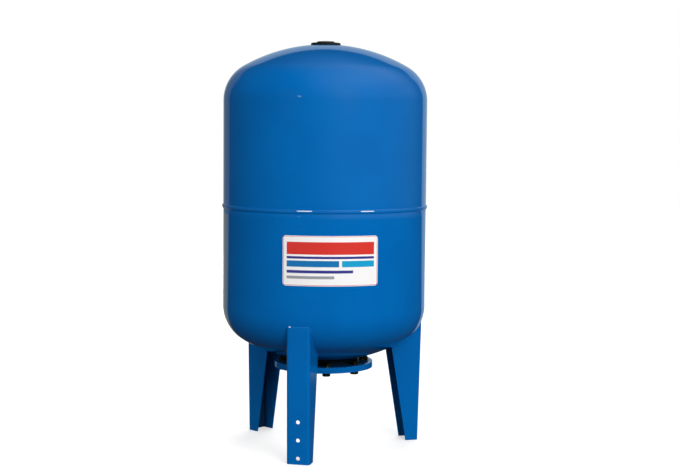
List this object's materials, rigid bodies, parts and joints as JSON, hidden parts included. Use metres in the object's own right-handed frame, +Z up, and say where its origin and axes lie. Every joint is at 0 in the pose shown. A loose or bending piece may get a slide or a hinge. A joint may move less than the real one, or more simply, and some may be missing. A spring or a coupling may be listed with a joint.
{
  "type": "well pressure tank",
  "caption": "Vertical steel pressure tank on three channel legs, with a bolted bottom flange, an inner rubber bladder, a water socket underneath and an air valve under a black top cover.",
  "frame": {"origin": "on the tank's axis at floor level, at the bottom centre of the whole tank", "axes": "+Z up along the tank's axis; the front leg is on -Y"},
  "size_m": [0.4555, 0.4556, 0.8977],
  "materials": {
    "blue_paint": "gloss",
    "bladder_rubber": "matte",
    "seal_rubber": "matte",
    "yellow_zinc": "satin",
    "valve_brass": "satin",
    "black_plastic": "satin"
  },
  "bodies": {
    "root": {"upper_shell": "blue_paint", "lower_shell": "blue_paint", "girth_weld": "blue_paint", "neck_ring": "blue_paint", "neck_weld": "blue_paint", "tank_flange": "blue_paint", "flange_weld": "blue_paint", "cover_flange": "blue_paint", "inlet_socket": "blue_paint", "socket_weld": "blue_paint", "bladder": "bladder_rubber", "flange_bolts": "yellow_zinc", "bolt_washers": "yellow_zinc", "flange_nuts": "yellow_zinc", "leg_front": "blue_paint", "leg_right": "blue_paint", "leg_left": "blue_paint", "leg_front_weld": "blue_paint", "leg_right_weld": "blue_paint", "leg_left_weld": "blue_paint", "valve_boss": "blue_paint", "boss_weld": "blue_paint", "valve_body": "valve_brass", "valve_seal": "seal_rubber", "valve_core": "valve_brass", "dust_cap": "black_plastic", "top_cover": "black_plastic"}
  },
  "joints": []
}
